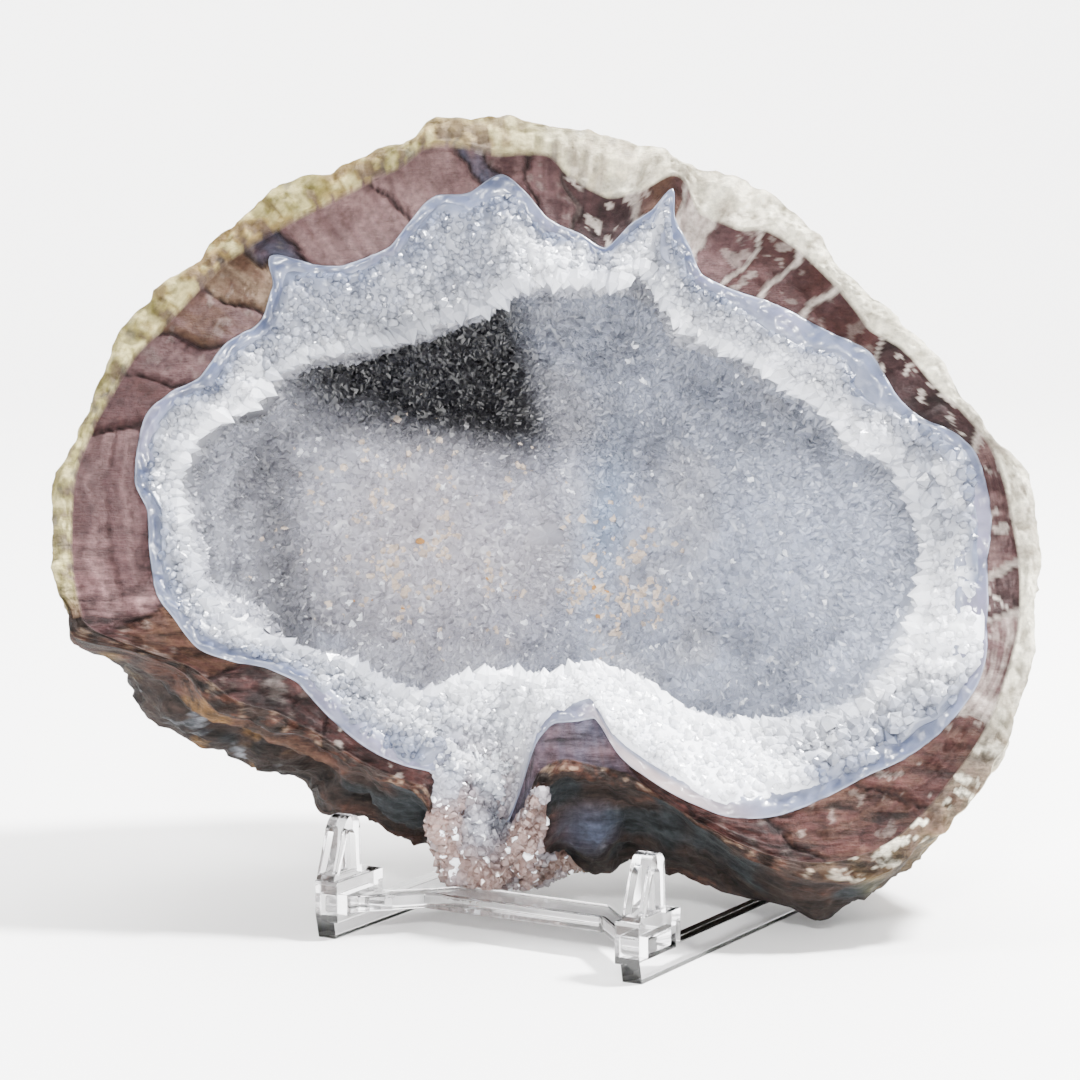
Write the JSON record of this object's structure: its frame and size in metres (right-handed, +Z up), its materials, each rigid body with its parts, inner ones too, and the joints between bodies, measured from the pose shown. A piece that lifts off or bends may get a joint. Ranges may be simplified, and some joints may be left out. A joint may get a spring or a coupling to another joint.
{
  "type": "geode half on a display easel",
  "caption": "Broken geode half with a crystal-lined hollow, a blue-grey chalcedony band and a jasper rind, leaning on a clear easel.",
  "frame": {"origin": "middle of the whole model's footprint, on the surface that the easel stands on", "axes": "+X along the stone's longest way, +Z up, the hollow faces -Y and leans back 17 degrees"},
  "size_m": [0.1536, 0.1172, 0.1232],
  "materials": {
    "rock": "broken purple-brown jasper with a matt ochre and cream weathered rind",
    "chalcedony": "smooth waxy blue-grey translucent band",
    "quartz": "sparkling white to blue-grey fine quartz crystals",
    "clear_plastic": "polished clear moulded plastic"
  },
  "bodies": {
    "root": {"rock_shell": "rock", "chalcedony_band": "chalcedony", "crystal_crust": "quartz", "stand_left_rail": "clear_plastic", "stand_right_rail": "clear_plastic", "stand_crossbar": "clear_plastic"}
  },
  "joints": []
}
